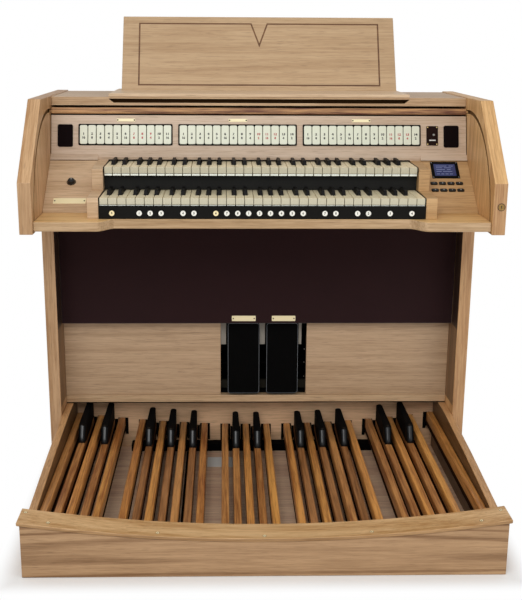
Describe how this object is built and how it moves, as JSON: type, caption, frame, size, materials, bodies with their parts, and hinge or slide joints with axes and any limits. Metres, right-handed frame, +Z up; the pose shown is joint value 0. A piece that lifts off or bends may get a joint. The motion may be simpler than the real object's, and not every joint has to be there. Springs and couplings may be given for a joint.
{
  "type": "electronic organ",
  "caption": "Oak electronic church organ console with manuals, stop tabs, thumb pistons, roll-top, music desk, swell shoes and a concave pedalboard.",
  "frame": {"origin": "on the floor under the middle of the organ's bounding box", "axes": "+X to the player's right, +Y from the player towards the organ's back, +Z up"},
  "size_m": [1.238, 1.001, 1.3367],
  "materials": {
    "light_oak": "satin lacquered light oak",
    "pedal_oak": "polished orange-brown oak",
    "speaker_cloth": "dark aubergine woven cloth on a frame",
    "key_ivory": "cream key tops",
    "key_black": "satin black",
    "tab_cream": "cream-white tabs",
    "piston_cream": "white buttons",
    "black_plastic": "matte black",
    "black_frame": "matte black paint",
    "shoe_rubber": "ribbed black rubber",
    "speaker_black": "matte black",
    "steel": "zinc plated"
  },
  "bodies": {
    "console": {"back_panel": "light_oak", "case_floor": "light_oak", "cloth_panel": "speaker_cloth", "electronics_chassis": "steel", "heel_rail": "light_oak", "key_block_left": "light_oak", "key_block_right": "light_oak", "key_table": "light_oak", "knee_board": "light_oak", "loudspeaker": "speaker_black", "manual_frame": "black_frame", "pedal_frame": "light_oak", "side_left": "light_oak", "side_right": "light_oak", "stop_panel": "light_oak", "swell_box": "black_frame", "toe_board": "light_oak", "top_board": "light_oak"},
    "rolltop_body": {"rolltop": "light_oak"},
    "music_desk_body": {"music_desk": "light_oak"},
    "swell_shoe_left_body": {"swell_shoe_left": "shoe_rubber"},
    "swell_shoe_right_body": {"swell_shoe_right": "shoe_rubber"},
    "upper_naturals_body": {"upper_naturals": "key_ivory"},
    "upper_sharps_body": {"upper_sharps": "key_black"},
    "lower_naturals_body": {"lower_naturals": "key_ivory"},
    "lower_sharps_body": {"lower_sharps": "key_black"},
    "stop_tabs_body": {"stop_tabs": "tab_cream"},
    "thumb_pistons_body": {"thumb_pistons": "piston_cream"},
    "menu_buttons_body": {"menu_buttons": "black_plastic"},
    "power_knob_body": {"power_knob": "black_plastic"},
    "pedal_01_C_body": {"pedal_01_C": "pedal_oak"},
    "pedal_02_Cs_body": {"pedal_02_Cs": "pedal_oak"},
    "pedal_03_D_body": {"pedal_03_D": "pedal_oak"},
    "pedal_04_Ds_body": {"pedal_04_Ds": "pedal_oak"},
    "pedal_05_E_body": {"pedal_05_E": "pedal_oak"},
    "pedal_06_F_body": {"pedal_06_F": "pedal_oak"},
    "pedal_07_Fs_body": {"pedal_07_Fs": "pedal_oak"},
    "pedal_08_G_body": {"pedal_08_G": "pedal_oak"},
    "pedal_09_Gs_body": {"pedal_09_Gs": "pedal_oak"},
    "pedal_10_A_body": {"pedal_10_A": "pedal_oak"},
    "pedal_11_As_body": {"pedal_11_As": "pedal_oak"},
    "pedal_12_B_body": {"pedal_12_B": "pedal_oak"},
    "pedal_13_C_body": {"pedal_13_C": "pedal_oak"},
    "pedal_14_Cs_body": {"pedal_14_Cs": "pedal_oak"},
    "pedal_15_D_body": {"pedal_15_D": "pedal_oak"},
    "pedal_16_Ds_body": {"pedal_16_Ds": "pedal_oak"},
    "pedal_17_E_body": {"pedal_17_E": "pedal_oak"},
    "pedal_18_F_body": {"pedal_18_F": "pedal_oak"},
    "pedal_19_Fs_body": {"pedal_19_Fs": "pedal_oak"},
    "pedal_20_G_body": {"pedal_20_G": "pedal_oak"},
    "pedal_21_Gs_body": {"pedal_21_Gs": "pedal_oak"},
    "pedal_22_A_body": {"pedal_22_A": "pedal_oak"},
    "pedal_23_As_body": {"pedal_23_As": "pedal_oak"},
    "pedal_24_B_body": {"pedal_24_B": "pedal_oak"},
    "pedal_25_C_body": {"pedal_25_C": "pedal_oak"},
    "pedal_26_Cs_body": {"pedal_26_Cs": "pedal_oak"},
    "pedal_27_D_body": {"pedal_27_D": "pedal_oak"},
    "pedal_28_Ds_body": {"pedal_28_Ds": "pedal_oak"},
    "pedal_29_E_body": {"pedal_29_E": "pedal_oak"},
    "pedal_30_F_body": {"pedal_30_F": "pedal_oak"}
  },
  "joints": [
    {"name": "rolltop_turn", "type": "hinge", "parent": "console", "child": "rolltop_body", "pos_m": [0, 0.126, 0.79], "axis": [1, 0, 0], "range_deg": [0, 90]},
    {"name": "desk_lift", "type": "slide", "parent": "console", "child": "music_desk_body", "axis": [0, 0, 1], "range_m": [0, 0.05]},
    {"name": "swell_shoe_left_tilt", "type": "hinge", "parent": "console", "child": "swell_shoe_left_body", "pos_m": [-0.041, 0.262, 0.3], "axis": [-1, 0, 0], "range_deg": [0, 28]},
    {"name": "swell_shoe_right_tilt", "type": "hinge", "parent": "console", "child": "swell_shoe_right_body", "pos_m": [0.077, 0.262, 0.3], "axis": [-1, 0, 0], "range_deg": [0, 28]},
    {"name": "lower_naturals_press", "type": "hinge", "parent": "console", "child": "lower_naturals_body", "pos_m": [0, 0.2058, 0.8685], "axis": [1, 0, 0], "range_deg": [0, 1.61], "stiffness_Nm_per_rad": 60, "springref_deg": -8.59},
    {"name": "lower_sharps_press", "type": "hinge", "parent": "console", "child": "lower_sharps_body", "pos_m": [0, 0.1858, 0.85], "axis": [1, 0, 0], "range_deg": [0, 2.02], "stiffness_Nm_per_rad": 40, "springref_deg": -6.88},
    {"name": "upper_naturals_press", "type": "hinge", "parent": "console", "child": "upper_naturals_body", "pos_m": [0, 0.3323, 0.9325], "axis": [1, 0, 0], "range_deg": [0, 1.61], "stiffness_Nm_per_rad": 60, "springref_deg": -8.59},
    {"name": "upper_sharps_press", "type": "hinge", "parent": "console", "child": "upper_sharps_body", "pos_m": [0, 0.3123, 0.914], "axis": [1, 0, 0], "range_deg": [0, 2.02], "stiffness_Nm_per_rad": 40, "springref_deg": -6.88},
    {"name": "stop_tabs_rock", "type": "hinge", "parent": "console", "child": "stop_tabs_body", "pos_m": [0, 0.14237, 1.01082], "axis": [1, 0, 0], "range_deg": [0, 6]},
    {"name": "thumb_pistons_push", "type": "slide", "parent": "console", "child": "thumb_pistons_body", "axis": [0, 1, 0], "range_m": [0, 0.0025], "stiffness_N_per_m": 2000, "springref_m": -0.0015},
    {"name": "menu_buttons_push", "type": "slide", "parent": "console", "child": "menu_buttons_body", "axis": [0, 0.6086, -0.7935], "range_m": [0, 0.0015], "stiffness_N_per_m": 1500, "springref_m": -0.002},
    {"name": "power_knob_turn", "type": "hinge", "parent": "console", "child": "power_knob_body", "pos_m": [-0.518, 0.04686, 0.89098], "axis": [0, -0.6086, 0.7935], "range_deg": [0, 90]},
    {"name": "pedal_01_C_press", "type": "hinge", "parent": "console", "child": "pedal_01_C_body", "pos_m": [-0.5525, -0.455, 0.087], "axis": [-1, 0, 0], "range_deg": [0, 1.01], "stiffness_Nm_per_rad": 25, "springref_deg": -20.05},
    {"name": "pedal_02_Cs_press", "type": "hinge", "parent": "console", "child": "pedal_02_Cs_body", "pos_m": [-0.52, -0.455, 0.08255], "axis": [-1, 0, 0], "range_deg": [0, 1.01], "stiffness_Nm_per_rad": 25, "springref_deg": -20.05},
    {"name": "pedal_03_D_press", "type": "hinge", "parent": "console", "child": "pedal_03_D_body", "pos_m": [-0.4875, -0.455, 0.07836], "axis": [-1, 0, 0], "range_deg": [0, 1.01], "stiffness_Nm_per_rad": 25, "springref_deg": -20.05},
    {"name": "pedal_04_Ds_press", "type": "hinge", "parent": "console", "child": "pedal_04_Ds_body", "pos_m": [-0.455, -0.455, 0.07445], "axis": [-1, 0, 0], "range_deg": [0, 1.01], "stiffness_Nm_per_rad": 25, "springref_deg": -20.05},
    {"name": "pedal_05_E_press", "type": "hinge", "parent": "console", "child": "pedal_05_E_body", "pos_m": [-0.4225, -0.455, 0.07081], "axis": [-1, 0, 0], "range_deg": [0, 1.01], "stiffness_Nm_per_rad": 25, "springref_deg": -20.05},
    {"name": "pedal_06_F_press", "type": "hinge", "parent": "console", "child": "pedal_06_F_body", "pos_m": [-0.3575, -0.455, 0.06433], "axis": [-1, 0, 0], "range_deg": [0, 1.01], "stiffness_Nm_per_rad": 25, "springref_deg": -20.05},
    {"name": "pedal_07_Fs_press", "type": "hinge", "parent": "console", "child": "pedal_07_Fs_body", "pos_m": [-0.325, -0.455, 0.0615], "axis": [-1, 0, 0], "range_deg": [0, 1.01], "stiffness_Nm_per_rad": 25, "springref_deg": -20.05},
    {"name": "pedal_08_G_press", "type": "hinge", "parent": "console", "child": "pedal_08_G_body", "pos_m": [-0.2925, -0.455, 0.05893], "axis": [-1, 0, 0], "range_deg": [0, 1.01], "stiffness_Nm_per_rad": 25, "springref_deg": -20.05},
    {"name": "pedal_09_Gs_press", "type": "hinge", "parent": "console", "child": "pedal_09_Gs_body", "pos_m": [-0.26, -0.455, 0.05664], "axis": [-1, 0, 0], "range_deg": [0, 1.01], "stiffness_Nm_per_rad": 25, "springref_deg": -20.05},
    {"name": "pedal_10_A_press", "type": "hinge", "parent": "console", "child": "pedal_10_A_body", "pos_m": [-0.2275, -0.455, 0.05461], "axis": [-1, 0, 0], "range_deg": [0, 1.01], "stiffness_Nm_per_rad": 25, "springref_deg": -20.05},
    {"name": "pedal_11_As_press", "type": "hinge", "parent": "console", "child": "pedal_11_As_body", "pos_m": [-0.195, -0.455, 0.05286], "axis": [-1, 0, 0], "range_deg": [0, 1.01], "stiffness_Nm_per_rad": 25, "springref_deg": -20.05},
    {"name": "pedal_12_B_press", "type": "hinge", "parent": "console", "child": "pedal_12_B_body", "pos_m": [-0.1625, -0.455, 0.05137], "axis": [-1, 0, 0], "range_deg": [0, 1.01], "stiffness_Nm_per_rad": 25, "springref_deg": -20.05},
    {"name": "pedal_13_C_press", "type": "hinge", "parent": "console", "child": "pedal_13_C_body", "pos_m": [-0.0975, -0.455, 0.04922], "axis": [-1, 0, 0], "range_deg": [0, 1.01], "stiffness_Nm_per_rad": 25, "springref_deg": -20.05},
    {"name": "pedal_14_Cs_press", "type": "hinge", "parent": "console", "child": "pedal_14_Cs_body", "pos_m": [-0.065, -0.455, 0.04854], "axis": [-1, 0, 0], "range_deg": [0, 1.01], "stiffness_Nm_per_rad": 25, "springref_deg": -20.05},
    {"name": "pedal_15_D_press", "type": "hinge", "parent": "console", "child": "pedal_15_D_body", "pos_m": [-0.0325, -0.455, 0.04813], "axis": [-1, 0, 0], "range_deg": [0, 1.01], "stiffness_Nm_per_rad": 25, "springref_deg": -20.05},
    {"name": "pedal_16_Ds_press", "type": "hinge", "parent": "console", "child": "pedal_16_Ds_body", "pos_m": [0, -0.455, 0.048], "axis": [-1, 0, 0], "range_deg": [0, 1.01], "stiffness_Nm_per_rad": 25, "springref_deg": -20.05},
    {"name": "pedal_17_E_press", "type": "hinge", "parent": "console", "child": "pedal_17_E_body", "pos_m": [0.0325, -0.455, 0.04813], "axis": [-1, 0, 0], "range_deg": [0, 1.01], "stiffness_Nm_per_rad": 25, "springref_deg": -20.05},
    {"name": "pedal_18_F_press", "type": "hinge", "parent": "console", "child": "pedal_18_F_body", "pos_m": [0.0975, -0.455, 0.04922], "axis": [-1, 0, 0], "range_deg": [0, 1.01], "stiffness_Nm_per_rad": 25, "springref_deg": -20.05},
    {"name": "pedal_19_Fs_press", "type": "hinge", "parent": "console", "child": "pedal_19_Fs_body", "pos_m": [0.13, -0.455, 0.05016], "axis": [-1, 0, 0], "range_deg": [0, 1.01], "stiffness_Nm_per_rad": 25, "springref_deg": -20.05},
    {"name": "pedal_20_G_press", "type": "hinge", "parent": "console", "child": "pedal_20_G_body", "pos_m": [0.1625, -0.455, 0.05137], "axis": [-1, 0, 0], "range_deg": [0, 1.01], "stiffness_Nm_per_rad": 25, "springref_deg": -20.05},
    {"name": "pedal_21_Gs_press", "type": "hinge", "parent": "console", "child": "pedal_21_Gs_body", "pos_m": [0.195, -0.455, 0.05286], "axis": [-1, 0, 0], "range_deg": [0, 1.01], "stiffness_Nm_per_rad": 25, "springref_deg": -20.05},
    {"name": "pedal_22_A_press", "type": "hinge", "parent": "console", "child": "pedal_22_A_body", "pos_m": [0.2275, -0.455, 0.05461], "axis": [-1, 0, 0], "range_deg": [0, 1.01], "stiffness_Nm_per_rad": 25, "springref_deg": -20.05},
    {"name": "pedal_23_As_press", "type": "hinge", "parent": "console", "child": "pedal_23_As_body", "pos_m": [0.26, -0.455, 0.05664], "axis": [-1, 0, 0], "range_deg": [0, 1.01], "stiffness_Nm_per_rad": 25, "springref_deg": -20.05},
    {"name": "pedal_24_B_press", "type": "hinge", "parent": "console", "child": "pedal_24_B_body", "pos_m": [0.2925, -0.455, 0.05893], "axis": [-1, 0, 0], "range_deg": [0, 1.01], "stiffness_Nm_per_rad": 25, "springref_deg": -20.05},
    {"name": "pedal_25_C_press", "type": "hinge", "parent": "console", "child": "pedal_25_C_body", "pos_m": [0.3575, -0.455, 0.06433], "axis": [-1, 0, 0], "range_deg": [0, 1.01], "stiffness_Nm_per_rad": 25, "springref_deg": -20.05},
    {"name": "pedal_26_Cs_press", "type": "hinge", "parent": "console", "child": "pedal_26_Cs_body", "pos_m": [0.39, -0.455, 0.06743], "axis": [-1, 0, 0], "range_deg": [0, 1.01], "stiffness_Nm_per_rad": 25, "springref_deg": -20.05},
    {"name": "pedal_27_D_press", "type": "hinge", "parent": "console", "child": "pedal_27_D_body", "pos_m": [0.4225, -0.455, 0.07081], "axis": [-1, 0, 0], "range_deg": [0, 1.01], "stiffness_Nm_per_rad": 25, "springref_deg": -20.05},
    {"name": "pedal_28_Ds_press", "type": "hinge", "parent": "console", "child": "pedal_28_Ds_body", "pos_m": [0.455, -0.455, 0.07445], "axis": [-1, 0, 0], "range_deg": [0, 1.01], "stiffness_Nm_per_rad": 25, "springref_deg": -20.05},
    {"name": "pedal_29_E_press", "type": "hinge", "parent": "console", "child": "pedal_29_E_body", "pos_m": [0.4875, -0.455, 0.07836], "axis": [-1, 0, 0], "range_deg": [0, 1.01], "stiffness_Nm_per_rad": 25, "springref_deg": -20.05},
    {"name": "pedal_30_F_press", "type": "hinge", "parent": "console", "child": "pedal_30_F_body", "pos_m": [0.5525, -0.455, 0.087], "axis": [-1, 0, 0], "range_deg": [0, 1.01], "stiffness_Nm_per_rad": 25, "springref_deg": -20.05}
  ]
}
